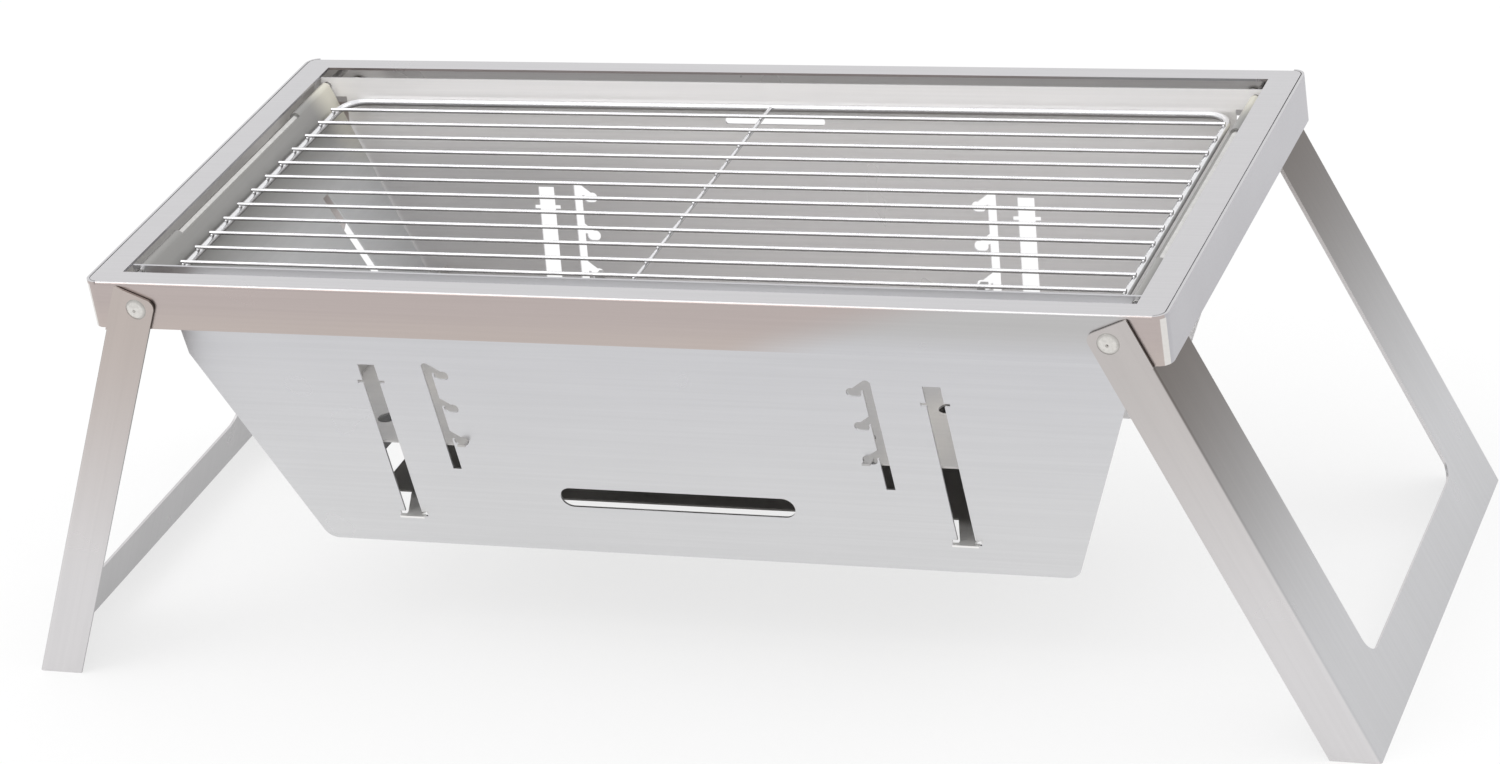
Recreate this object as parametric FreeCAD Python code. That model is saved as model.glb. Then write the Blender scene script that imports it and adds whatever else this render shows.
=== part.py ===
import FreeCAD, Part
import math
import os

# Folding camp grill in stainless sheet and wire.
# Millimetres, +X along the rim, +Y to the back, +Z up, origin on the floor under the middle of the rim.

V = FreeCAD.Vector
X_AXIS = V(1, 0, 0)
Y_AXIS = V(0, 1, 0)
Z_AXIS = V(0, 0, 1)
ORIGIN = V(0, 0, 0)

# Rim
rim_length = 430.0
rim_depth = 206.6
rim_height = 178.5
frame_sheet = 1.0
skirt_height = 19.5
long_flange = 9.2
end_flange = 13.0
rim_corner = 5.0
bend_outer = 1.6
seam = 0.4

# Clearances
running = 0.05
loose = 0.3
side_play = 1.1

# Legs
leg_splay = 23.3
rivet_end_inset = 21.6
rivet_drop = 10.6
leg_bend_offset = 10.6
leg_flange = 17.6
leg_overrun = 5.9
leg_gap = 0.35
post_width = 35.8
foot_bar = 20.0
window_corner = 8.6
flange_corner = 3.4

# Swivel rivets
shank_diameter = 4.0
head_diameter = 8.5
head_height = 1.6
tail_diameter = 6.6
tail_height = 1.0
dimple_diameter = 1.4
dimple_depth = 0.5

# End rods, end panels and the two long walls
rod_diameter = 3.2
panel_sheet = 0.8
curl_opening = 55.0
end_rod_inset = 15.8
end_rod_drop = 4.5
wall_inset = 16.4
wall_top = 0.9
wall_tilt = 10.66
wall_depth = 133.7
wall_rod_gap = 8.5
wall_taper = 34.6
wall_shoulder = 43.0
wall_corner = 6.0
ear_height = 8.0
ear_lip = 0.7
end_tilt = 24.8
end_depth = 116.0
end_corner = 5.0
curl_inset = 19.8
curl_lug = 29.5

# Openings in the front and back walls, as depths below the rim
slot_width = 7.1
slot_top = 45.2
slot_foot = 120.2
notch_width = 11.6
notch_height = 1.6
notch_depth = 53.6
foot_notch_width = 11.6
foot_notch_height = 2.3
front_slot_x = 114.8
back_slot_x = 103.6
hook_x = 89.4
hook_stem = 3.6
hook_top = 45.2
hook_foot = 95.0
hook_pocket_x = 83.0
hook_pocket = 4.2
hook_rise = 5.0
hook_flat = 1.8
hook_first = 51.3
hook_pitch = 15.9
hook_levels = 3
vent_length = 97.0
vent_height = 9.4
vent_depth = 106.7
grip_length = 43.0
grip_height = 2.8
grip_depth = 16.3

# Openings in the end panels
end_slot_y = 38.5
end_slot_width = 5.2
end_slot_top = 33.0
end_slot_foot = 70.0

# Charcoal tray, carried by tabs in the lowest hooks of the walls
tray_half_length = 153.0
tray_lip = 5.0
tray_step = 2.0
tray_tab = 3.2
tray_tab_length = 3.0
tray_hole = 8.0
tray_hole_step = 25.0
tray_row_step = 26.0

# Ash plate, carried by necked tabs in the feet of the straight slots
ash_half_length = 138.0
ash_side_gap = 16.6
ash_root = 18.0
ash_neck = 6.4
ash_neck_length = 3.0
ash_head = 10.5
ash_head_length = 2.0

# Cooking grate
grate_wire = 3.0
grate_thin = 1.5
grate_tie = 1.5
grate_drop = 10.0
grate_end_gap = 2.6
grate_corner = 10.0
grate_bars = 12

# Stops for the legs at the lower corners of the rim
stop_reach = 8.0
stop_length = 20.0

half_length = rim_length / 2
half_depth = rim_depth / 2
wall_half_top = half_length - end_rod_inset - wall_rod_gap
wall_half_foot = wall_half_top - wall_taper
curl_half = half_depth - curl_inset
curl_notch_half = curl_half - curl_lug
wall_reach = half_depth - wall_inset
rod_radius = rod_diameter / 2
curl_inner = rod_radius + running
curl_outer = curl_inner + panel_sheet
skirt_bottom = rim_height - skirt_height


def extrude(points, vector):
    """Prism of a closed polygon."""
    return Part.Face(Part.makePolygon(points + [points[0]])).extrude(vector)


def block(x0, x1, y0, y1, z0, z1):
    """Box between two corners."""
    return Part.makeBox(x1 - x0, y1 - y0, z1 - z0, V(x0, y0, z0))


def rod(radius, start, end):
    """Round bar from one point to another."""
    return Part.makeCylinder(radius, (end - start).Length, start, end - start)


def rounded_outline(points, radii):
    """Closed wire of straight edges with an arc at each corner that has a radius."""
    edges = []
    starts = []
    ends = []
    count = len(points)
    for i in range(count):
        corner = points[i]
        before = (points[i - 1] - corner).normalize()
        after = (points[(i + 1) % count] - corner).normalize()
        half = before.getAngle(after) / 2
        reach = radii[i] / math.tan(half)
        starts.append(corner + before * reach)
        ends.append(corner + after * reach)
        if radii[i] > 0:
            middle = (before + after).normalize()
            tip = corner + middle * (radii[i] / math.sin(half) - radii[i])
            edges.append(Part.Arc(starts[i], tip, ends[i]).toShape())
    for i in range(count):
        following = starts[(i + 1) % count]
        if not ends[i].isEqual(following, running / 100):
            edges.append(Part.makeLine(ends[i], following))
    return Part.Wire(Part.__sortEdges__(edges))


def plate(points, radii, vector):
    """Flat plate with rounded corners."""
    return Part.Face(rounded_outline(points, radii)).extrude(vector)


def slot(length_axis, centre, length, width, through):
    """Round-ended cutter, its length along one axis and its depth along another."""
    reach = max(length - width, 0) / 2
    side = length_axis.cross(through).normalize() * (width / 2)
    ends = length_axis * reach
    tail = through * 0.5
    core = extrude([centre - ends - side - tail, centre + ends - side - tail,
                    centre + ends + side - tail, centre - ends + side - tail], through)
    first = Part.makeCylinder(width / 2, through.Length, centre - ends - tail, through)
    second = Part.makeCylinder(width / 2, through.Length, centre + ends - tail, through)
    return core.fuse(first).fuse(second)


def mirrored(shape, normal):
    """Copy on the other side of the middle of the grill."""
    return shape.mirror(ORIGIN, normal)


# Rim: a band bent round the four corners, with a flange bent inwards along the front and the back.
def band_ring(inset):
    """Solid rounded block of the rim, inset all round."""
    x = half_length - inset
    y = half_depth - inset
    r = rim_corner - inset
    corners = [V(-x, -y, skirt_bottom), V(x, -y, skirt_bottom), V(x, y, skirt_bottom), V(-x, y, skirt_bottom)]
    return plate(corners, [r] * 4, Z_AXIS * skirt_height)


def long_bend():
    """Front flange with its rounded bend, mitred at both ends."""
    outer = -half_depth
    inner = outer + long_flange
    top = rim_height
    profile = [V(0, outer, top - bend_outer - frame_sheet), V(0, outer, top), V(0, inner, top),
               V(0, inner, top - frame_sheet), V(0, outer + frame_sheet, top - frame_sheet),
               V(0, outer + frame_sheet, top - bend_outer - frame_sheet)]
    straight = half_length - rim_corner
    face = Part.Face(rounded_outline(profile, [0, bend_outer, 0, 0, 0.2, 0]))
    face.translate(V(-straight, 0, 0))
    bar = face.extrude(X_AXIS * (2 * straight))
    for side in (-1, 1):
        bar = bar.cut(mitre_corner(side))
    return bar


def mitre_corner(side):
    """Corner region that the end strip fills, beyond the mitre line."""
    inner_x = half_length - end_flange
    inner_y = -half_depth + long_flange
    run = half_length - rim_corner - inner_x
    far = half_depth
    return extrude([V(side * inner_x, inner_y, rim_height - frame_sheet),
                    V(side * (inner_x + run), inner_y - run, rim_height - frame_sheet),
                    V(side * (inner_x + run + far), inner_y - run, rim_height - frame_sheet),
                    V(side * (inner_x + run + far), inner_y, rim_height - frame_sheet)],
                   Z_AXIS * (2 * frame_sheet))


def top_frame():
    """Skirts and flanges all round in one bent sheet, and the four stops for the legs."""
    ring = band_ring(0).cut(band_ring(frame_sheet))
    straight = half_length - rim_corner
    room = block(-straight, straight, -half_depth - 1, half_depth + 1,
                 rim_height - bend_outer - frame_sheet, rim_height + 1)
    front = long_bend()
    shape = ring.cut(room).fuse(front).fuse(mirrored(front, Y_AXIS))
    strip = rim_strip()
    shape = shape.fuse([strip, mirrored(strip, X_AXIS)])
    inside = half_length - frame_sheet
    stop_y = half_depth - rim_corner
    for end in (-1, 1):
        for side in (-1, 1):
            xs = sorted([end * inside, end * (inside - stop_reach)])
            ys = sorted([side * stop_y, side * (stop_y - stop_length)])
            shape = shape.fuse(block(xs[0], xs[1], ys[0], ys[1], skirt_bottom, skirt_bottom + frame_sheet))
    for x in (-rivet_x(), rivet_x()):
        shape = shape.cut(rod(shank_diameter / 2 + running, V(x, -half_depth - 1, rivet_z()),
                              V(x, half_depth + 1, rivet_z())))
    return shape.removeSplitter()


def rim_strip():
    """Flat strip that closes the right end of the rim, with an open seam to the band."""
    inner = half_length - end_flange
    outer = half_length - frame_sheet - seam
    long_edge = half_depth - long_flange
    straight = half_length - rim_corner
    run = straight - inner
    corner = rim_corner - frame_sheet - seam
    z = rim_height - frame_sheet
    points = [V(inner, -long_edge, z), V(straight, -long_edge - run, z),
              V(outer, -long_edge - run, z), V(outer, long_edge + run, z),
              V(straight, long_edge + run, z), V(inner, long_edge, z)]
    return plate(points, [0, 0, corner, corner, 0, 0], Z_AXIS * frame_sheet)


def rivet_x():
    """Distance of the leg pivots from the middle."""
    return half_length - rivet_end_inset


def rivet_z():
    """Height of the leg pivots."""
    return rim_height - rivet_drop


# Legs: one sheet each, a plate with a window and a flange bent along the front and the back.
def leg_outer():
    """Distance of a leg's outer flange face from the middle."""
    return half_depth + leg_gap + frame_sheet


def place_leg(shape):
    """Moves a leg from its own axes, hung on its pivot, to the open position at the right end."""
    shape.rotate(ORIGIN, Y_AXIS, -leg_splay)
    shape.translate(V(rivet_x(), 0, rivet_z()))
    return shape


def leg_channel(top, bottom):
    """Plate and both flanges with rounded bends, between two places along the leg."""
    y = leg_outer()
    x = leg_bend_offset
    back = x - leg_flange
    t = frame_sheet
    points = [V(back, -y, bottom), V(x, -y, bottom), V(x, y, bottom), V(back, y, bottom),
              V(back, y - t, bottom), V(x - t, y - t, bottom), V(x - t, -y + t, bottom), V(back, -y + t, bottom)]
    radii = [0, bend_outer, bend_outer, 0, 0, bend_outer - t, bend_outer - t, 0]
    return plate(points, radii, Z_AXIS * (top - bottom))


def leg_flat(side, bottom):
    """Flange that runs up over the skirt to the pivot, its free corner rounded."""
    y = side * leg_outer()
    x = leg_bend_offset
    back = x - leg_flange
    points = [V(back, y, bottom), V(x, y, bottom), V(x, y, leg_overrun), V(back, y, leg_overrun)]
    return plate(points, [0, 0, 0.6, flange_corner], Y_AXIS * (-side * frame_sheet))


def leg():
    """Right leg in its open position."""
    reach = 1.3 * rim_height
    seat = skirt_bottom - loose
    channel = place_leg(leg_channel(leg_overrun, -reach))
    far = 2 * rim_length
    channel = channel.cut(block(-far, far, -far, far, seat, far))
    flats = place_leg(leg_flat(-1, -reach).fuse(leg_flat(1, -reach)))
    flats = flats.common(block(-far, far, -far, far, seat, far))
    shape = channel.fuse(flats)
    shape = shape.cut(leg_window())
    shape = shape.cut(block(-far, far, -far, far, -far, 0))
    for y in (-leg_outer() + frame_sheet / 2, leg_outer() - frame_sheet / 2):
        hole = rod(shank_diameter / 2, V(rivet_x(), y - frame_sheet, rivet_z()), V(rivet_x(), y + frame_sheet, rivet_z()))
        shape = shape.cut(hole)
    return shape.removeSplitter()


def leg_window():
    """Cutter for the window between the two posts, open at the top."""
    half = leg_outer() - post_width
    low = -(rim_height - rivet_drop) / math.cos(math.radians(leg_splay)) + foot_bar
    x = leg_bend_offset - 2 * frame_sheet
    points = [V(x, -half, low), V(x, half, low), V(x, half, leg_overrun), V(x, -half, leg_overrun)]
    return place_leg(plate(points, [window_corner, window_corner, 0, 0], X_AXIS * (3 * frame_sheet)))


def rivet_head():
    """Domed head on +Z with a small dimple in its middle."""
    r = head_diameter / 2
    dome_radius = (r ** 2 + head_height ** 2) / (2 * head_height)
    angle = math.asin(r / dome_radius) / 2
    centre = head_height - dome_radius
    middle = V(dome_radius * math.sin(angle), 0, centre + dome_radius * math.cos(angle))
    dome = Part.Arc(V(r, 0, 0), middle, V(0, 0, head_height)).toShape()
    base = Part.makeLine(ORIGIN, V(r, 0, 0))
    axis = Part.makeLine(V(0, 0, head_height), ORIGIN)
    head = Part.Face(Part.Wire([base, dome, axis])).revolve(ORIGIN, Z_AXIS, 360)
    dimple = Part.makeCone(0, dimple_diameter / 2, dimple_depth, V(0, 0, head_height - dimple_depth), Z_AXIS)
    return head.cut(dimple)


def rivet(side):
    """Swivel rivet at the front or the back of the right leg, with a domed head and a clinched tail."""
    outside = side * leg_outer()
    out = Y_AXIS * side
    base = V(rivet_x(), outside, rivet_z())
    head = rivet_head()
    head.rotate(ORIGIN, X_AXIS, -90 * side)
    head.translate(base)
    inner_face = side * (half_depth - frame_sheet - loose)
    tail_start = V(rivet_x(), inner_face, rivet_z())
    shank = rod(shank_diameter / 2, tail_start - out * tail_height, base)
    tail = rod(tail_diameter / 2, tail_start - out * tail_height, tail_start)
    return head.fuse([shank, tail]).removeSplitter()


# End rods, welded between the skirts.
def end_rod():
    """Rod along the right end that the end panel and the ears of the walls hang on."""
    x = half_length - end_rod_inset
    reach = half_depth - frame_sheet
    z = rim_height - end_rod_drop
    return rod(rod_radius, V(x, -reach, z), V(x, reach, z))


# Hanging sheets are drawn flat first: the rod along X at the origin, the sheet down -Z on its +Y side.
def curl(half_width):
    """Sheet rolled round the rod, open at the bottom on the outer side."""
    start = V(-half_width, 0, 0)
    end = V(half_width, 0, 0)
    ring = rod(curl_outer, start, end).cut(rod(curl_inner, start, end))
    reach = 2 * curl_outer
    angle = math.radians(curl_opening)
    gap = extrude([start, start + V(0, 0, -reach), start + V(0, -reach * math.sin(angle), -reach * math.cos(angle))],
                  X_AXIS * (2 * half_width))
    under = block(-half_width, half_width, 0, reach, -reach, 0)
    return ring.cut(gap).cut(under)


def hang(shape, tilt, turn, place):
    """Tilts a hanging sheet inwards, turns it to its side of the rim and moves it to its rod."""
    shape.rotate(ORIGIN, X_AXIS, tilt)
    shape.rotate(ORIGIN, Z_AXIS, turn)
    shape.translate(place)
    return shape


# Walls are drawn in their own plane: X across, the outer face at Y = 0, depth below the rim's top down -Z.
def along(depth):
    """Distance down a wall's sheet for a depth below the rim's top."""
    return depth / math.cos(math.radians(wall_tilt))


def wall_cutter_block(x0, x1, upper, lower):
    """Cutter for a square opening between two distances down the sheet."""
    return block(x0, x1, -panel_sheet, 2 * panel_sheet, -lower, -upper)


def hook_cutter(side):
    """Stem with hook pockets that lean towards the middle."""
    through = Y_AXIS * (3 * panel_sheet)
    level_y = -panel_sheet
    x = side * hook_x
    tip_x = side * hook_pocket_x
    half = hook_stem / 2
    shape = wall_cutter_block(x - half, x + half, along(hook_top), along(hook_foot))
    for level in range(hook_levels):
        z = -along(hook_first + level * hook_pitch) + hook_pocket / 2
        branch = extrude([V(x + side * half, level_y, z + hook_rise), V(x - side * half, level_y, z + hook_rise),
                          V(tip_x - side * hook_pocket / 2, level_y, z), V(tip_x + side * hook_pocket / 2, level_y, z),
                          V(x - side * half, level_y, z + hook_rise - hook_pocket),
                          V(x + side * half, level_y, z + hook_rise - hook_pocket)], through)
        shape = shape.fuse(branch)
        near_x = tip_x + side * hook_flat
        for centre in (tip_x, near_x):
            shape = shape.fuse(Part.makeCylinder(hook_pocket / 2, through.Length, V(centre, level_y, z), Y_AXIS))
        xs = sorted([tip_x, near_x])
        shape = shape.fuse(wall_cutter_block(xs[0], xs[1], -z, -z + hook_pocket / 2))
    return shape.fuse(Part.makeCylinder(half, through.Length, V(x, level_y, -along(hook_top)), Y_AXIS))


def rail_cutter(x):
    """Straight slot with a cross notch near its top and one at its foot for the ash plate's tab."""
    half = slot_width / 2
    shape = wall_cutter_block(x - half, x + half, along(slot_top), along(slot_foot))
    half = notch_width / 2
    middle = along(notch_depth)
    shape = shape.fuse(wall_cutter_block(x - half, x + half, middle - notch_height / 2, middle + notch_height / 2))
    half = foot_notch_width / 2
    foot = along(slot_foot)
    return shape.fuse(wall_cutter_block(x - half, x + half, foot - foot_notch_height, foot))


def end_rod_x():
    """Distance of the end rods from the middle."""
    return half_length - end_rod_inset


def wall_ear(side):
    """Ear at a top corner, notched from below so that it hangs over the end rod."""
    notch = rod_radius + loose
    outer = end_rod_x() + notch + ear_lip
    middle = -along(end_rod_drop)
    foot = -along(wall_top) - ear_height
    xs = sorted([side * (wall_half_top - ear_height), side * outer])
    shape = block(xs[0], xs[1], 0, panel_sheet, foot, -along(wall_top))
    x = side * end_rod_x()
    shape = shape.cut(block(x - notch, x + notch, -panel_sheet, 2 * panel_sheet, foot - loose, middle))
    return shape.cut(Part.makeCylinder(notch, 3 * panel_sheet, V(x, -panel_sheet, middle), Y_AXIS))


def wall(slot_x):
    """Front or back wall in its own plane, without its vent or grip."""
    foot = -along(wall_depth)
    shoulder = -along(wall_shoulder)
    top = -along(wall_top)
    points = [V(-wall_half_top, 0, top), V(-wall_half_top, 0, shoulder), V(-wall_half_foot, 0, foot),
              V(wall_half_foot, 0, foot), V(wall_half_top, 0, shoulder), V(wall_half_top, 0, top)]
    shape = plate(points, [0, 0, wall_corner, wall_corner, 0, 0], Y_AXIS * panel_sheet)
    for side in (-1, 1):
        shape = shape.fuse(wall_ear(side))
        shape = shape.cut([rail_cutter(side * slot_x), hook_cutter(side)])
    return shape.removeSplitter()


def wall_opening(depth, length, height):
    """Cutter for a level round-ended opening in the middle of a wall."""
    centre = V(0, panel_sheet / 2, -along(depth))
    return slot(X_AXIS, centre, length, height, Y_AXIS * (3 * panel_sheet))


def front_wall():
    """Front wall with its long vent."""
    shape = wall(front_slot_x).cut(wall_opening(vent_depth, vent_length, vent_height))
    return hang(shape, wall_tilt, 0, V(0, -wall_reach, rim_height))


def back_wall():
    """Back wall with its finger grip."""
    shape = wall(back_slot_x).cut(wall_opening(grip_depth, grip_length, grip_height))
    return hang(shape, wall_tilt, 180, V(0, wall_reach, rim_height))


def outer_half(depth):
    """Half distance between the walls' outer faces at a depth below the rim's top."""
    return wall_reach - depth * math.tan(math.radians(wall_tilt))


def inner_half(depth):
    """Half distance between the walls' inner faces at a depth below the rim's top."""
    return outer_half(depth) - panel_sheet / math.cos(math.radians(wall_tilt))


def end_along(depth):
    """Distance along an end panel for a depth below the rim."""
    return (depth - end_rod_drop) / math.cos(math.radians(end_tilt))


def end_panel():
    """Right end panel: a curl in two lengths with the rod bare between them, and two slots for the tray."""
    foot = -end_along(end_depth)
    head_half = min(inner_half(end_rod_drop) - side_play, curl_half)
    foot_half = inner_half(end_depth) - side_play
    y = curl_inner
    points = [V(-head_half, y, 0), V(-foot_half, y, foot), V(foot_half, y, foot), V(head_half, y, 0)]
    shape = plate(points, [0, end_corner, end_corner, 0], Y_AXIS * panel_sheet)
    roll = curl(curl_half)
    reach = 2 * curl_outer
    roll = roll.cut(block(-curl_notch_half, curl_notch_half, -reach, reach, -reach, reach))
    shape = shape.fuse(roll)
    for side in (-1, 1):
        top = -end_along(end_slot_top)
        bottom = -end_along(end_slot_foot)
        cutter = block(side * end_slot_y - end_slot_width / 2, side * end_slot_y + end_slot_width / 2,
                       y - panel_sheet, y + 2 * panel_sheet, bottom, top)
        shape = shape.cut(cutter)
    place = V(half_length - end_rod_inset, 0, rim_height - end_rod_drop)
    return hang(shape.removeSplitter(), end_tilt, 90, place)


def end_face_x(depth, offset):
    """Distance from the middle of a plane beside an end panel, at a depth below the rim."""
    angle = math.radians(end_tilt)
    base = half_length - end_rod_inset
    return base - (offset + (depth - end_rod_drop) * math.sin(angle)) / math.cos(angle)


# Charcoal tray: a pan whose side tabs rest in the lowest hooks of the walls.
def tray_bottom():
    """Height of the tray's underside, on the flat chord of the round pockets."""
    depth = hook_first + (hook_levels - 1) * hook_pitch
    radius = hook_pocket / 2
    chord = radius - math.sqrt(radius ** 2 - (tray_tab / 2) ** 2)
    return rim_height - depth + chord + loose


def tray_hole_places(x, y):
    """Centres of the air holes, every second place of a grid so that the rows are staggered."""
    across = int((y - tray_hole) / tray_row_step)
    lengthwise = int((x - tray_hole) / tray_hole_step)
    places = []
    for i in range(-lengthwise, lengthwise + 1):
        for j in range(-across, across + 1):
            if (i + j) % 2 == 1:
                places.append((i * tray_hole_step, j * tray_row_step))
    return places


def tray():
    """Pan with upturned ends, air holes and four tabs, each raised on a short riser."""
    seat = tray_bottom()
    z = seat - tray_step
    t = panel_sheet
    x = tray_half_length
    y = inner_half(rim_height - z) - loose
    shape = block(-x, x, -y, y, z, z + t)
    for end in (-1, 1):
        xs = sorted([end * x, end * (x - t)])
        shape = shape.fuse(block(xs[0], xs[1], -y, y, z, z + tray_lip))
    reach = outer_half(rim_height - seat) + tray_tab_length
    half = tray_tab / 2
    for end in (-1, 1):
        for side in (-1, 1):
            middle = end * hook_pocket_x
            riser = sorted([side * y, side * (y - t)])
            tab = sorted([side * (y - t), side * reach])
            shape = shape.fuse(block(middle - half, middle + half, riser[0], riser[1], z, seat + t))
            shape = shape.fuse(block(middle - half, middle + half, tab[0], tab[1], seat, seat + t))
    holes = []
    for hole_x, hole_y in tray_hole_places(x, y):
        start = V(hole_x, hole_y, z - t)
        holes.append(rod(tray_hole / 2, start, start + Z_AXIS * (3 * t)))
    return shape.cut(holes).removeSplitter()


# Ash plate: a flat sheet between the walls, its necked tabs through the feet of the straight slots.
def ash_bottom():
    """Height of the ash plate's underside."""
    return rim_height - slot_foot + loose


def ash_half_depth():
    """Half depth of the ash plate between its tabs."""
    return inner_half(slot_foot) - ash_side_gap


def ash_tab(x, side):
    """Tapered tab with a neck in the slot and a head outside the wall."""
    z = ash_bottom()
    depth = rim_height - z
    root = ash_half_depth()
    shoulder = inner_half(depth) - loose
    head = outer_half(depth) + loose
    end = head + ash_head_length
    points = [V(x - ash_root / 2, side * (root - ash_neck_length), z), V(x - ash_root / 2, side * root, z),
              V(x - ash_neck / 2, side * shoulder, z), V(x - ash_neck / 2, side * head, z),
              V(x - ash_head / 2, side * head, z), V(x - ash_head / 2, side * end, z),
              V(x + ash_head / 2, side * end, z), V(x + ash_head / 2, side * head, z),
              V(x + ash_neck / 2, side * head, z), V(x + ash_neck / 2, side * shoulder, z),
              V(x + ash_root / 2, side * root, z), V(x + ash_root / 2, side * (root - ash_neck_length), z)]
    return extrude(points, Z_AXIS * panel_sheet)


def ash_plate():
    """Plate with four tabs."""
    z = ash_bottom()
    y = ash_half_depth()
    shape = block(-ash_half_length, ash_half_length, -y, y, z, z + panel_sheet)
    for end in (-1, 1):
        shape = shape.fuse(ash_tab(end * front_slot_x, -1))
        shape = shape.fuse(ash_tab(end * back_slot_x, 1))
    return shape.removeSplitter()


# Cooking grate: a bent frame wire, thin bars across its top and one tie wire under them.
def grate_z():
    """Height of the frame wire's middle."""
    return rim_height - grate_drop


def grate_half_depth():
    """Frame wire's half depth, seated between the sloping walls."""
    return inner_half(grate_drop) - (grate_wire / 2 + loose) / math.cos(math.radians(wall_tilt))


def grate_half_length():
    """Frame wire's half length, between the end panels."""
    return end_face_x(grate_drop, curl_outer) - grate_wire / 2 - grate_end_gap


def grate_frame():
    """Closed wire rectangle with bent corners."""
    x = grate_half_length()
    y = grate_half_depth()
    z = grate_z()
    path = rounded_outline([V(-x, -y, z), V(x, -y, z), V(x, y, z), V(-x, y, z)], [grate_corner] * 4)
    r = grate_wire / 2
    c = grate_corner
    shape = rod(r, V(-x + c, -y, z), V(x - c, -y, z))
    shape = shape.fuse(rod(r, V(-x + c, y, z), V(x - c, y, z)))
    shape = shape.fuse(rod(r, V(-x, -y + c, z), V(-x, y - c, z)))
    shape = shape.fuse(rod(r, V(x, -y + c, z), V(x, y - c, z)))
    for sx in (-1, 1):
        for sy in (-1, 1):
            shape = shape.fuse(wire_corner(sx, sy, x - c, y - c, z, c, r))
    return shape


def wire_corner(sx, sy, cx, cy, z, bend, radius):
    """Quarter turn of round wire."""
    ring = Part.makeTorus(bend, radius, V(sx * cx, sy * cy, z), Z_AXIS)
    reach = bend + 2 * radius
    xs = sorted([sx * cx, sx * (cx + reach)])
    ys = sorted([sy * cy, sy * (cy + reach)])
    return ring.common(block(xs[0], xs[1], ys[0], ys[1], z - reach, z + reach))


def grate_bar_set():
    """Thin bars along the grate, evenly spaced on top of the frame wire."""
    x = grate_half_length() + grate_wire / 4
    z = grate_z() + grate_wire / 2 + grate_thin / 2
    half = grate_half_depth()
    pitch = 2 * half / (grate_bars + 1)
    bars = []
    for i in range(grate_bars):
        y = -half + (i + 1) * pitch
        bars.append(rod(grate_thin / 2, V(-x, y, z), V(x, y, z)))
    return Part.makeCompound(bars)


def grate_tie_wire():
    """Tie wire across the middle, under the thin bars and between the frame wires."""
    y = grate_half_depth() - grate_wire / 2
    z = grate_z() + grate_wire / 2 - grate_tie / 2
    return rod(grate_tie / 2, V(0, -y, z), V(0, y, z))


def build():
    """Every piece of the grill by its name."""
    right_leg = leg()
    right_rivets = Part.makeCompound([rivet(-1), rivet(1)])
    right_end = end_panel()
    right_rod = end_rod()
    return {
        "top_frame": top_frame(),
        "right_leg": right_leg,
        "left_leg": mirrored(right_leg, X_AXIS),
        "right_leg_rivets": right_rivets,
        "left_leg_rivets": mirrored(right_rivets, X_AXIS),
        "right_end_rod": right_rod,
        "left_end_rod": mirrored(right_rod, X_AXIS),
        "front_wall": front_wall(),
        "back_wall": back_wall(),
        "right_end_panel": right_end,
        "left_end_panel": mirrored(right_end, X_AXIS),
        "charcoal_tray": tray(),
        "ash_plate": ash_plate(),
        "grate_frame_wire": grate_frame(),
        "grate_bars": grate_bar_set(),
        "grate_tie_wire": grate_tie_wire(),
    }


os.makedirs("parts", exist_ok=True)
for name, shape in build().items():
    print(name, len(shape.Solids), round(shape.Volume, 1), shape.isValid())
    shape.exportStep("parts/" + name + ".step")
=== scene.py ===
import math
import bpy
from mathutils import Matrix, Vector


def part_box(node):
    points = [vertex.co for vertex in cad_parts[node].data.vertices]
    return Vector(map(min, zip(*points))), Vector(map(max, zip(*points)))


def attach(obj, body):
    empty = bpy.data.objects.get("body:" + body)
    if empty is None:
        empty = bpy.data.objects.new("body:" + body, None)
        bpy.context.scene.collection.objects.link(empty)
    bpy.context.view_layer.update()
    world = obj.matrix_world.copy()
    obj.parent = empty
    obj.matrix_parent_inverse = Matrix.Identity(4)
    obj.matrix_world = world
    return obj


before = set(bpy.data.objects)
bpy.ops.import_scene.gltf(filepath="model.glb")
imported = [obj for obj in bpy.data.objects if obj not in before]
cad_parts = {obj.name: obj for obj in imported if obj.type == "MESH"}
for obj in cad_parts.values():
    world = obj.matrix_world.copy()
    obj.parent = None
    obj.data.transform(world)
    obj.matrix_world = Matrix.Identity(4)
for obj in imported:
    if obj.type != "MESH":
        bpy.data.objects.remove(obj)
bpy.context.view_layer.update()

# ---------------------------------------------------------------------------
# Top frame: one blank of 1 mm stainless sheet, bent down all round into a skirt
# and inwards along the opening, with its corners closed. It carries every other
# piece: the legs on rivets, and the firebox on the two end rods.
# ---------------------------------------------------------------------------


def colour(code):
    """Linear colour of an sRGB hex code."""
    parts = [int(code[i:i + 2], 16) / 255 for i in (1, 3, 5)]
    linear = [c / 12.92 if c <= 0.04045 else ((c + 0.055) / 1.055) ** 2.4 for c in parts]
    return (*linear, 1.0)


def add(owner, kind, inputs=None, **settings):
    """New node of a material or node group. An input takes a value, a socket or a node's first output."""
    tree = getattr(owner, "node_tree", owner)
    node = tree.nodes.new(kind)
    for key, value in settings.items():
        setattr(node, key, value)
    for key, value in (inputs or {}).items():
        if isinstance(value, bpy.types.Node):
            value = next(socket for socket in value.outputs if socket.enabled)
        if isinstance(value, bpy.types.NodeSocket):
            tree.links.new(value, node.inputs[key])
        else:
            node.inputs[key].default_value = value
    return node


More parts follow.
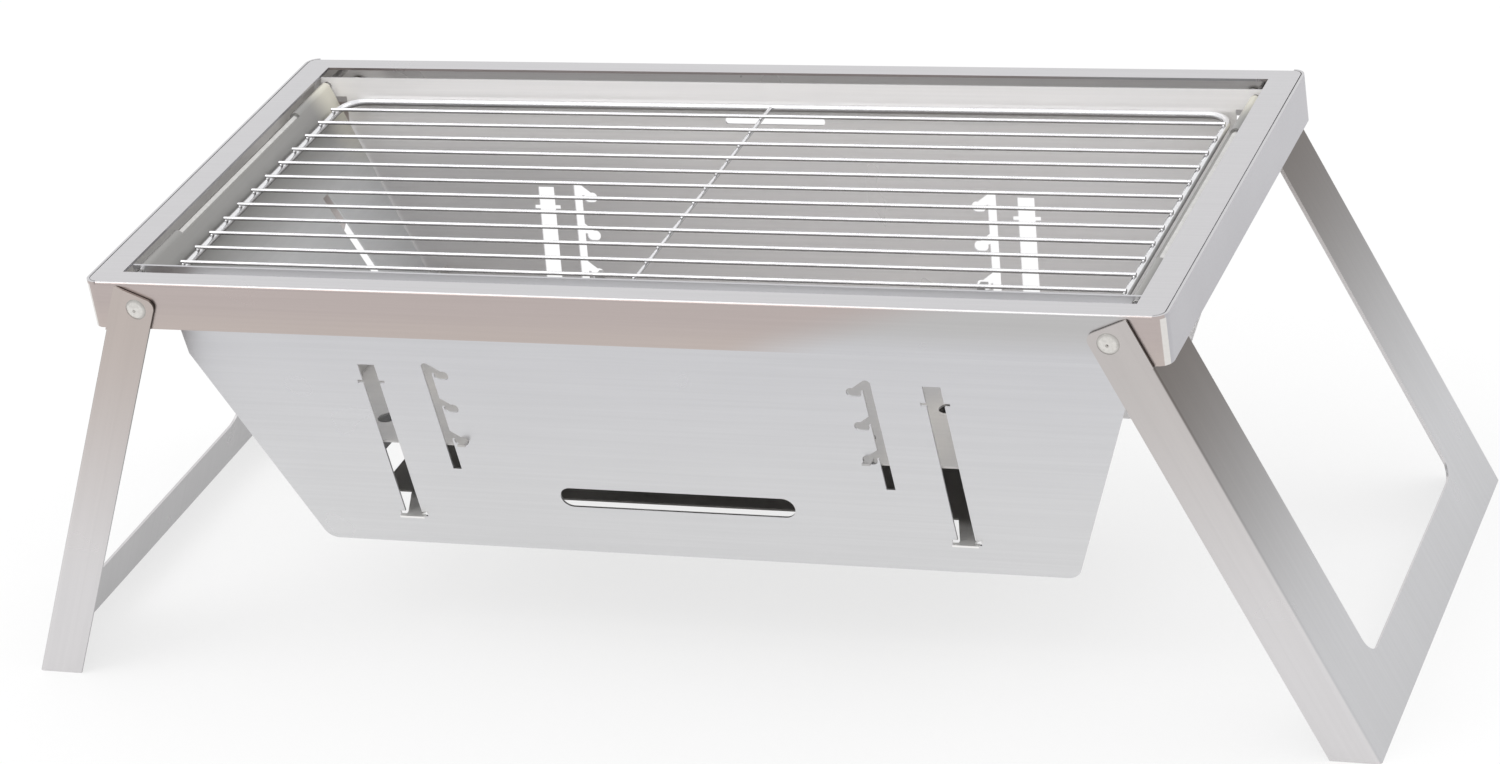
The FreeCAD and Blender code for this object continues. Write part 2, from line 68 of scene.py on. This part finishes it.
def bare_steel(name):
    """Empty material, with the place on the grill in metres and the way the surface faces."""
    steel = bpy.data.materials.new(name)
    steel.use_nodes = True
    steel.node_tree.nodes.clear()
    spot = add(steel, "ShaderNodeTexCoord")
    place = add(steel, "ShaderNodeSeparateXYZ", {0: spot.outputs["Object"]}).outputs
    facing = add(steel, "ShaderNodeSeparateXYZ", {0: spot.outputs["Normal"]}).outputs
    return steel, spot.outputs["Object"], place, facing


def finish_steel(steel, spot, tint, brush_mm, roughness=0.3, relief=0.1, metal=1.0):
    """Brushed finish. brush_mm is how long a brush line is along X, Y and Z.

    Real lines are about 0.1 mm wide, too fine to show, so they are drawn about 1 to 2 mm wide.
    Handling leaves cloudy duller patches.
    """
    cloud_mm = 45
    shade = 0.02
    spread = 0.07
    depth = 0.0002
    pace = tuple(1000 / length for length in brush_mm)
    lines = add(steel, "ShaderNodeMapping", {"Vector": spot, "Scale": pace})
    streaks = add(steel, "ShaderNodeTexNoise", {"Vector": lines, "Scale": 1.0, "Detail": 3.0})
    clouds = add(steel, "ShaderNodeTexNoise", {"Vector": spot, "Scale": 1000 / cloud_mm, "Detail": 2.0})
    value = add(steel, "ShaderNodeMapRange", {0: streaks, 1: 0.25, 2: 0.75, 3: 1 - shade, 4: 1 + shade},
                interpolation_type="SMOOTHSTEP")
    toned = add(steel, "ShaderNodeHueSaturation", {"Color": tint, "Value": value})
    rough = add(steel, "ShaderNodeMapRange", {0: clouds, 3: roughness - spread, 4: roughness + spread})
    bump = add(steel, "ShaderNodeBump", {"Height": streaks, "Strength": relief, "Distance": depth})
    surface = add(steel, "ShaderNodeBsdfPrincipled", {"Base Color": toned, "Metallic": metal,
                                                      "Roughness": rough, "Normal": bump})
    add(steel, "ShaderNodeOutputMaterial", {"Surface": surface})


def wear(node, steel):
    """Puts one material on a piece."""
    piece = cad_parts[node]
    piece.data.materials.clear()
    piece.data.materials.append(steel)


# Satin stainless, brushed along the sheet before bending. Its colours are painted
# reflections and painted shading: a warm brown painted sheen on the front skirt that breaks
# off in a slanting wavy edge to cool grey, a second warm painted reflection at its right
# corner, greyer ends and paler flanges on top.
rim, spot, place, facing = bare_steel("satin_stainless_rim")
rim_low, rim_high = (Vector(v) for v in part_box("top_frame"))
rim_sheet = 0.001
painted_sheen_end = 0.057
painted_sheen_fade = 0.06
painted_sheen_slant = 3.0
wave_mm = 70
wave_reach = 0.05
corner_reflection_width = 0.015
corner_reflection_fade = 0.008
foot_fade = 0.013
# Painted sheen: a warm brown reflection on the front skirt, ending in a slanting wavy edge.
above = add(rim, "ShaderNodeMath", {0: place[2], 1: rim_low.z}, operation="SUBTRACT")
slope = add(rim, "ShaderNodeMath", {0: above, 1: -painted_sheen_slant, 2: place[0]}, operation="MULTIPLY_ADD")
wave = add(rim, "ShaderNodeTexNoise", {"Vector": spot, "Scale": 1000 / wave_mm, "Detail": 1.0})
edge = add(rim, "ShaderNodeMath", {0: wave, 1: wave_reach, 2: slope}, operation="MULTIPLY_ADD")
painted_sheen_part = add(rim, "ShaderNodeMapRange", {0: edge, 1: painted_sheen_end, 2: painted_sheen_end + painted_sheen_fade, 3: 1.0, 4: 0.0},
                interpolation_type="SMOOTHSTEP")
# Painted reflection: a second warm patch at the right corner of the skirt.
painted_corner_reflection = add(rim, "ShaderNodeMapRange", {0: place[0], 1: rim_high.x - corner_reflection_width - corner_reflection_fade / 2,
                                                   2: rim_high.x - corner_reflection_width + corner_reflection_fade / 2},
                  interpolation_type="SMOOTHSTEP")
warm_painted_reflection = add(rim, "ShaderNodeMath", {0: painted_sheen_part, 1: painted_corner_reflection}, operation="MAXIMUM")
# Painted reflection: the skirt's warm and cool tones change from the foot of the skirt upwards.
height = add(rim, "ShaderNodeMapRange", {0: above, 1: 0.0, 2: foot_fade}, interpolation_type="SMOOTHSTEP")
brown_painted_reflection = add(rim, "ShaderNodeMix", {0: height, 6: colour("#BFB4AF"), 7: colour("#BAAFAC")}, data_type="RGBA")
cool_painted_reflection = add(rim, "ShaderNodeMix", {0: height, 6: colour("#CACACD"), 7: colour("#BDBCBC")}, data_type="RGBA")
skirt = add(rim, "ShaderNodeMix", {0: warm_painted_reflection, 6: cool_painted_reflection, 7: brown_painted_reflection}, data_type="RGBA")
# Painted shading by the way each face points: greyer ends, paler flanges on top.
front = add(rim, "ShaderNodeMath", {0: facing[1], 1: -0.6}, operation="LESS_THAN")
sideways = add(rim, "ShaderNodeMath", {0: facing[0]}, operation="ABSOLUTE")
end = add(rim, "ShaderNodeMath", {0: sideways, 1: 0.6}, operation="GREATER_THAN")
plain = add(rim, "ShaderNodeMix", {0: end, 6: colour("#D2D1D3"), 7: colour("#B8B7BB")}, data_type="RGBA")
outside = add(rim, "ShaderNodeMix", {0: front, 6: plain, 7: skirt}, data_type="RGBA")
# The inner face of the skirt sees only the dull firebox, so it is drawn duller:
# bright and dull are how metallic a clean and a shaded face look.
bright = 1.0
dull = 0.25
depth = add(rim, "ShaderNodeMath", {0: place[1]}, operation="ABSOLUTE")
between = add(rim, "ShaderNodeMath", {0: depth, 1: rim_high.y - 0.7 * rim_sheet}, operation="LESS_THAN")
below = add(rim, "ShaderNodeMath", {0: place[2], 1: rim_high.z - 1.3 * rim_sheet}, operation="LESS_THAN")
length = add(rim, "ShaderNodeMath", {0: place[0]}, operation="ABSOLUTE")
within = add(rim, "ShaderNodeMath", {0: length, 1: rim_high.x - 0.7 * rim_sheet}, operation="LESS_THAN")
beneath = add(rim, "ShaderNodeMath", {0: between, 1: below}, operation="MULTIPLY")
inner = add(rim, "ShaderNodeMath", {0: beneath, 1: within}, operation="MULTIPLY")
body = add(rim, "ShaderNodeMix", {0: inner, 6: outside, 7: colour("#DAD7D4")}, data_type="RGBA")
sheen = add(rim, "ShaderNodeMapRange", {0: inner, 3: bright, 4: dull})
finish_steel(rim, spot, body, (110, 1.1, 1.1), metal=sheen)
wear("top_frame", rim)

# ---------------------------------------------------------------------------
# Legs: two U-shaped stands, each cut from one sheet with a window and a flange
# bent along both posts. Each turns on two domed rivets through the skirt.
# ---------------------------------------------------------------------------

# Satin stainless, brushed along the posts. Its colours are painted reflections: the narrow
# flanges are painted beige at the pivot and cool grey at the ground, and the broad plate is
# painted dark high up, clearing towards the foot. The right leg is painted a little lighter.
leg, spot, place, facing = bare_steel("satin_stainless_leg")
leg_low, leg_high = (Vector(v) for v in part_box("right_leg"))
leg_splay = math.radians(23.3)
clear_foot = 0.03
painted_dark_top = 0.01
# Painted reflection: dark high on the broad plate and beige high on the flanges, clearing towards the foot.
height = add(leg, "ShaderNodeMapRange", {0: place[2], 1: leg_low.z + clear_foot, 2: leg_high.z - painted_dark_top},
             interpolation_type="SMOOTHSTEP")
right_hand = add(leg, "ShaderNodeMath", {0: place[0], 1: 0.0}, operation="GREATER_THAN")
beige_painted_reflection = add(leg, "ShaderNodeMix", {0: right_hand, 6: colour("#BEB4AF"), 7: colour("#C1BCBA")},
            data_type="RGBA")
flange = add(leg, "ShaderNodeMix", {0: height, 6: colour("#D9D7D8"), 7: beige_painted_reflection}, data_type="RGBA")
foot = add(leg, "ShaderNodeMix", {0: right_hand, 6: colour("#B4B3B4"), 7: colour("#C6C6C8")},
           data_type="RGBA")
plate = add(leg, "ShaderNodeMix", {0: height, 6: foot, 7: colour("#6B6561")}, data_type="RGBA")
across = add(leg, "ShaderNodeMath", {0: facing[0]}, operation="ABSOLUTE")
broad = add(leg, "ShaderNodeMapRange", {0: across, 1: 0.5, 2: 0.8}, interpolation_type="SMOOTHSTEP")
body = add(leg, "ShaderNodeMix", {0: broad, 6: flange, 7: plate}, data_type="RGBA")
# The lines follow the posts, which lean outwards on both sides.
outwards = add(leg, "ShaderNodeMath", {0: place[0]}, operation="ABSOLUTE")
mirrored = add(leg, "ShaderNodeCombineXYZ", {0: outwards, 1: place[1], 2: place[2]})
upright = add(leg, "ShaderNodeVectorRotate", {"Vector": mirrored, "Angle": leg_splay}, rotation_type="Y_AXIS")
finish_steel(leg, upright, body, (1.7, 1.7, 110))
wear("right_leg", leg)
wear("left_leg", leg)

# Stainless rivet steel, cold struck. The eye sees a bright dome with small marks of about 1 mm
# from the die, and painted shade in a darker ring where it turns down to the leg.
rivet, spot, place, facing = bare_steel("struck_stainless_rivet")
mark_mm = 1.1
marks = add(rivet, "ShaderNodeTexNoise", {"Vector": spot, "Scale": 1000 / mark_mm, "Detail": 2.0})
dome = add(rivet, "ShaderNodeMix", {0: marks, 6: colour("#C9C6C2"), 7: colour("#E8E6E2")}, data_type="RGBA")
# Painted shade: a dark ring where the dome turns away from the front.
outwards = add(rivet, "ShaderNodeMath", {0: facing[1]}, operation="ABSOLUTE")
facing_clear_of_painted_shade = add(rivet, "ShaderNodeMapRange", {0: outwards, 1: 0.72, 2: 0.9}, interpolation_type="SMOOTHSTEP")
body = add(rivet, "ShaderNodeMix", {0: facing_clear_of_painted_shade, 6: colour("#6E6A66"), 7: dome}, data_type="RGBA")
finish_steel(rivet, spot, body, (0.7, 0.7, 0.7), 0.22, 0.1)
wear("right_leg_rivets", rivet)
wear("left_leg_rivets", rivet)

# ---------------------------------------------------------------------------
# Firebox: a front and a back wall that hang by ears on the end rods, and two end
# panels curled round the same rods. All four are 0.8 mm sheet, punched and bent.
# ---------------------------------------------------------------------------

# Satin stainless, brushed along the wall. Outside it is pale, with painted light that makes
# it a little lighter towards the foot; the side towards the fire is duller, with painted shade
# that makes it darker towards the foot.
front_steel, spot, place, facing = bare_steel("satin_stainless_front_wall")
wall_low, wall_high = (Vector(v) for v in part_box("front_wall"))
inner_shade_foot = 0.024
inner_shade_top = 0.008
painted_light_top = 0.018
# Painted shade: the side towards the fire is darker towards the foot.
inner_shade_height = add(front_steel, "ShaderNodeMapRange", {0: place[2], 1: wall_low.z + inner_shade_foot,
                                                      2: wall_high.z - inner_shade_top},
                  interpolation_type="SMOOTHSTEP")
inner_face_painted_shading = add(front_steel, "ShaderNodeMix", {0: inner_shade_height, 6: colour("#C3C1C0"), 7: colour("#D6D4D3")},
                data_type="RGBA")
# Painted light: the outside is a little lighter towards the foot.
height = add(front_steel, "ShaderNodeMapRange", {0: place[2], 1: wall_low.z, 2: wall_high.z - painted_light_top},
             interpolation_type="SMOOTHSTEP")
outer_face_painted_light = add(front_steel, "ShaderNodeMix", {0: height, 6: colour("#DBDBDC"), 7: colour("#CFCFD2")},
            data_type="RGBA")
edge_blend = 0.2
outside = add(front_steel, "ShaderNodeMapRange", {0: facing[1], 1: edge_blend, 2: -edge_blend},
              interpolation_type="SMOOTHSTEP")
body = add(front_steel, "ShaderNodeMix", {0: outside, 6: inner_face_painted_shading, 7: outer_face_painted_light}, data_type="RGBA")
sheen = add(front_steel, "ShaderNodeMapRange", {0: outside, 3: dull, 4: bright})
finish_steel(front_steel, spot, body, (100, 1.4, 1.4), metal=sheen)
wear("front_wall", front_steel)

# The same steel on the back wall, which shows its side towards the fire: mid grey, with
# painted light that makes it lighter to the right, and a painted highlight band along the top.
back_steel, spot, place, facing = bare_steel("satin_stainless_back_wall")
shade_end = -0.14
light_start = 0.06
highlight_band_foot = 0.043
highlight_band_top = 0.013
# Painted light: lighter to the right and in a highlight band along the top.
along = add(back_steel, "ShaderNodeMapRange", {0: place[0], 1: shade_end, 2: light_start},
            interpolation_type="SMOOTHSTEP")
painted_light_across = add(back_steel, "ShaderNodeMix", {0: along, 6: colour("#CCCACA"), 7: colour("#EFEDED")},
            data_type="RGBA")
painted_highlight_band = add(back_steel, "ShaderNodeMapRange", {0: place[2], 1: wall_high.z - highlight_band_foot,
                                              2: wall_high.z - highlight_band_top},
           interpolation_type="SMOOTHSTEP")
inner_face_painted_shading = add(back_steel, "ShaderNodeMix", {0: painted_highlight_band, 6: painted_light_across, 7: colour("#F3F1F0")}, data_type="RGBA")
inside = add(back_steel, "ShaderNodeMapRange", {0: facing[1], 1: edge_blend, 2: -edge_blend},
             interpolation_type="SMOOTHSTEP")
body = add(back_steel, "ShaderNodeMix", {0: inside, 6: colour("#CFCFD2"), 7: inner_face_painted_shading}, data_type="RGBA")
sheen = add(back_steel, "ShaderNodeMapRange", {0: inside, 3: bright, 4: dull})
finish_steel(back_steel, spot, body, (100, 1.4, 1.4), metal=sheen)
wear("back_wall", back_steel)

# Satin stainless of the end panels, brushed across the grill: pale grey, with painted shade
# just under the curl, and a pale straw tone at the top of the back corner.
end_steel, spot, place, facing = bare_steel("satin_stainless_end_panel")
end_high = Vector(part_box("right_end_panel")[1])
straw_reach = 0.022
straw_full = 0.004
curl_shade = 0.041
curl_full = 0.008
behind = add(end_steel, "ShaderNodeMapRange", {0: place[1], 1: end_high.y - straw_reach,
                                               2: end_high.y - straw_full}, interpolation_type="SMOOTHSTEP")
height = add(end_steel, "ShaderNodeMapRange", {0: place[2], 1: end_high.z - curl_shade,
                                               2: end_high.z - curl_full},
             interpolation_type="SMOOTHSTEP")
straw = add(end_steel, "ShaderNodeMath", {0: behind, 1: height}, operation="MULTIPLY")
# Painted shade: darker just under the curl.
grey = add(end_steel, "ShaderNodeMix", {0: height, 6: colour("#D5D6D7"), 7: colour("#9A9997")},
           data_type="RGBA")
body = add(end_steel, "ShaderNodeMix", {0: straw, 6: grey, 7: colour("#DAD7CA")}, data_type="RGBA")
finish_steel(end_steel, spot, body, (2, 100, 2), 0.32, metal=0.35)
wear("left_end_panel", end_steel)
wear("right_end_panel", end_steel)

# Cold-drawn stainless rod, 3.2 mm thick. The die leaves fine lines along it and
# greyer spots about 3 mm long.
rod_steel, spot, place, facing = bare_steel("drawn_stainless_rod")
spot_mm = 3.3
streak = add(rod_steel, "ShaderNodeTexNoise", {"Vector": spot, "Scale": 1000 / spot_mm, "Detail": 2.0})
body = add(rod_steel, "ShaderNodeMix", {0: streak, 6: colour("#C9C8C6"), 7: colour("#E4E3E1")},
           data_type="RGBA")
finish_steel(rod_steel, spot, body, (1.2, 67, 1.2), 0.25, 0.1)
wear("left_end_rod", rod_steel)
wear("right_end_rod", rod_steel)

# ---------------------------------------------------------------------------
# Charcoal tray and ash plate: thin sheet hung on tabs in the walls. The tray is
# stepped at its sides and punched with round air holes; the plate is plain.
# ---------------------------------------------------------------------------

# Mill-finish stainless, as it left the rolls: light grey and dull, with cloudy
# patches about 55 mm across.
tray_steel, spot, place, facing = bare_steel("mill_finish_stainless_tray")
patch_mm = 55
bloom = add(tray_steel, "ShaderNodeTexNoise", {"Vector": spot, "Scale": 1000 / patch_mm, "Detail": 4.0})
patch = add(tray_steel, "ShaderNodeMapRange", {0: bloom, 1: 0.35, 2: 0.7}, interpolation_type="SMOOTHSTEP")
body = add(tray_steel, "ShaderNodeMix", {0: patch, 6: colour("#B4B3B3"), 7: colour("#C6C3BF")},
           data_type="RGBA")
finish_steel(tray_steel, spot, body, (100, 1.7, 1.7), 0.38, metal=0.3)
wear("charcoal_tray", tray_steel)

# The same sheet on the ash plate. It is drawn darker where it lies in the shade of
# the tray, and bare and light on the tabs that come through the walls.
ash_steel, spot, place, facing = bare_steel("mill_finish_stainless_ash_plate")
bloom = add(ash_steel, "ShaderNodeTexNoise", {"Vector": spot, "Scale": 1000 / patch_mm, "Detail": 4.0})
patch = add(ash_steel, "ShaderNodeMapRange", {0: bloom, 1: 0.35, 2: 0.7}, interpolation_type="SMOOTHSTEP")
shaded = add(ash_steel, "ShaderNodeMix", {0: patch, 6: colour("#7E7C7A"), 7: colour("#8F8C89")},
             data_type="RGBA")
ash_high = Vector(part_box("ash_plate")[1])
tab_start = 0.021
tab_full = 0.012
outwards = add(ash_steel, "ShaderNodeMath", {0: place[1]}, operation="ABSOLUTE")
tab = add(ash_steel, "ShaderNodeMapRange", {0: outwards, 1: ash_high.y - tab_start, 2: ash_high.y - tab_full},
          interpolation_type="SMOOTHSTEP")
body = add(ash_steel, "ShaderNodeMix", {0: tab, 6: shaded, 7: colour("#F4F3F1")}, data_type="RGBA")
finish_steel(ash_steel, spot, body, (100, 1.7, 1.7), 0.38, metal=0.5)
wear("ash_plate", ash_steel)

# ---------------------------------------------------------------------------
# Cooking grate: a 3 mm frame wire bent to a rectangle, twelve 1.5 mm bars laid on
# it and one tie wire under them. Every crossing is spot welded.
# ---------------------------------------------------------------------------

# Electropolished stainless wire, with painted light that makes it near white on top and
# painted shade that makes it grey beneath, and dull marks about 6 mm long where it was drawn.
wire, spot, place, facing = bare_steel("electropolished_stainless_wire")
draw_mm = 6.3
marks = add(wire, "ShaderNodeTexNoise", {"Vector": spot, "Scale": 1000 / draw_mm, "Detail": 3.0})
top = add(wire, "ShaderNodeMix", {0: marks, 6: colour("#E8E8EA"), 7: colour("#F6F6F8")}, data_type="RGBA")
# Painted light and shade: near white on faces that point up, grey on faces that point down.
painted_light_from_above = add(wire, "ShaderNodeMapRange", {0: facing[2], 1: -0.4, 2: 0.3}, interpolation_type="SMOOTHSTEP")
body = add(wire, "ShaderNodeMix", {0: painted_light_from_above, 6: colour("#8F8D8C"), 7: top}, data_type="RGBA")
finish_steel(wire, spot, body, (33, 1.1, 1.1), 0.24, 0.05)
for name in ("grate_frame_wire", "grate_bars", "grate_tie_wire"):
    wear(name, wire)


def weld_row(steel):
    """Node group that sets one weld nugget at each crossing of the bars with one wire."""
    group = bpy.data.node_groups.new("weld_nuggets", "GeometryNodeTree")
    group.interface.new_socket("Geometry", in_out="OUTPUT", socket_type="NodeSocketGeometry")
    keys = {}
    for title, kind in (("Count", "NodeSocketInt"), ("First", "NodeSocketVector"),
                        ("Step", "NodeSocketVector"), ("Radius", "NodeSocketFloat")):
        keys[title] = group.interface.new_socket(title, in_out="INPUT", socket_type=kind).identifier
    given = add(group, "NodeGroupInput").outputs
    row = add(group, "GeometryNodeMeshLine", {"Count": given["Count"], "Start Location": given["First"],
                                              "Offset": given["Step"]})
    nugget = add(group, "GeometryNodeMeshIcoSphere", {"Radius": given["Radius"], "Subdivisions": 3})
    spread = add(group, "GeometryNodeInstanceOnPoints", {"Points": row, "Instance": nugget,
                                                         "Scale": (1.0, 1.25, 0.8)})
    real = add(group, "GeometryNodeRealizeInstances", {0: spread})
    painted = add(group, "GeometryNodeSetMaterial", {"Geometry": real, "Material": steel})
    add(group, "NodeGroupOutput", {0: painted})
    return group, keys


welds, weld_keys = weld_row(wire)
bars_low, bars_high = (Vector(v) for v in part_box("grate_bars"))
wire_low, wire_high = (Vector(v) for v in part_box("grate_frame_wire"))
bar_count = 12
thin = bars_high.z - bars_low.z
thick = wire_high.z - wire_low.z
pitch = (bars_high.y - bars_low.y - thin) / (bar_count - 1)
for title, x in (("left", wire_low.x + thick / 2), ("middle", 0.0), ("right", wire_high.x - thick / 2)):
    host = bpy.data.objects.new("weld_host_" + title, bpy.data.meshes.new("weld_host_" + title))
    bpy.context.scene.collection.objects.link(host)
    growth = host.modifiers.new("welds", "NODES")
    growth.node_group = welds
    growth[weld_keys["Count"]] = bar_count
    growth[weld_keys["First"]] = (x, bars_low.y + thin / 2, bars_low.z)
    growth[weld_keys["Step"]] = (0.0, pitch, 0.0)
    growth[weld_keys["Radius"]] = thin * 0.55
    bpy.context.view_layer.update()
    mesh = bpy.data.meshes.new_from_object(host.evaluated_get(bpy.context.evaluated_depsgraph_get()))
    bpy.data.objects.remove(host)
    for polygon in mesh.polygons:
        polygon.use_smooth = True
    nuggets = bpy.data.objects.new("grate_welds_" + title, mesh)
    bpy.context.scene.collection.objects.link(nuggets)
    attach(nuggets, "grate")

# ---------------------------------------------------------------------------
# Studio: a pale floor that keeps a faint shadow, a white surround and two broad
# soft lamps.
# ---------------------------------------------------------------------------

floor_mesh = bpy.data.meshes.new("floor")
reach = 12.0
floor_mesh.from_pydata([(-reach, -reach, 0), (reach, -reach, 0), (reach, reach, 0), (-reach, reach, 0)], [],
                       [(0, 1, 2, 3)])
floor = bpy.data.objects.new("floor", floor_mesh)
bpy.context.scene.collection.objects.link(floor)

# White paper sweep. Seen directly or in the steel, more than half of it is plain
# white, so the shadow under the grill stays faint.
paper = bpy.data.materials.new("white_paper_sweep")
paper.use_nodes = True
paper.node_tree.nodes.clear()
matt = add(paper, "ShaderNodeBsdfPrincipled", {"Base Color": colour("#F9F9F9"), "Roughness": 1.0,
                                               "Specular IOR Level": 0.0})
plain = add(paper, "ShaderNodeEmission", {"Color": colour("#FFFFFF"), "Strength": 1.0})
ray = add(paper, "ShaderNodeLightPath").outputs
seen = add(paper, "ShaderNodeMath", {0: ray["Is Camera Ray"], 1: ray["Is Glossy Ray"]}, operation="MAXIMUM")
share = add(paper, "ShaderNodeMath", {0: seen, 1: 0.7}, operation="MULTIPLY")
both = add(paper, "ShaderNodeMixShader", {0: share, 1: matt, 2: plain})
add(paper, "ShaderNodeOutputMaterial", {"Surface": both})
floor.data.materials.append(paper)

world = bpy.data.worlds.new("studio")
bpy.context.scene.world = world
world.use_nodes = True
surround = world.node_tree.nodes["Background"]
surround.inputs["Color"].default_value = (1.0, 1.0, 1.0, 1.0)
surround.inputs["Strength"].default_value = 0.96


def lamp(name, place, size, power):
    """Broad soft lamp aimed at the middle of the grill."""
    light = bpy.data.lights.new(name, "AREA")
    light.size = size
    light.energy = power
    holder = bpy.data.objects.new(name, light)
    holder.location = place
    holder.rotation_euler = (Vector((0, 0, 0.1)) - Vector(place)).to_track_quat("-Z", "Y").to_euler()
    bpy.context.scene.collection.objects.link(holder)


lamp("key", (-1.2, -1.0, 2.6), 1.6, 16.0)
lamp("fill", (1.8, 0.6, 2.4), 1.8, 8.0)

# Camera: three-quarter view from the front right and above, a little rolled. Its
# distance and shifts are in lengths of the top frame.
unit = rim_high.x - rim_low.x
azimuth = math.radians(24.35)
elevation = math.radians(26.92)
roll = math.radians(-9.29)
away = 3.9146
aside = 0.0479
down = 0.1845
level = math.cos(elevation)
back = Vector((math.sin(azimuth) * level, -math.cos(azimuth) * level, math.sin(elevation)))
right = (-back).cross(Vector((0, 0, 1))).normalized()
up = right.cross(-back)
side_way = right * math.cos(roll) + up * math.sin(roll)
up_way = up * math.cos(roll) - right * math.sin(roll)
camera_data = bpy.data.cameras.new("camera")
camera_data.lens = 105.3
camera_data.sensor_width = 36.0
camera = bpy.data.objects.new("camera", camera_data)
camera.location = (back * away + side_way * aside - up_way * down) * unit + Vector((0, 0, rim_high.z))
camera.rotation_euler = Matrix((side_way, up_way, back)).transposed().to_euler()
bpy.context.scene.collection.objects.link(camera)
bpy.context.scene.camera = camera
bpy.context.scene.view_settings.view_transform = "Standard"
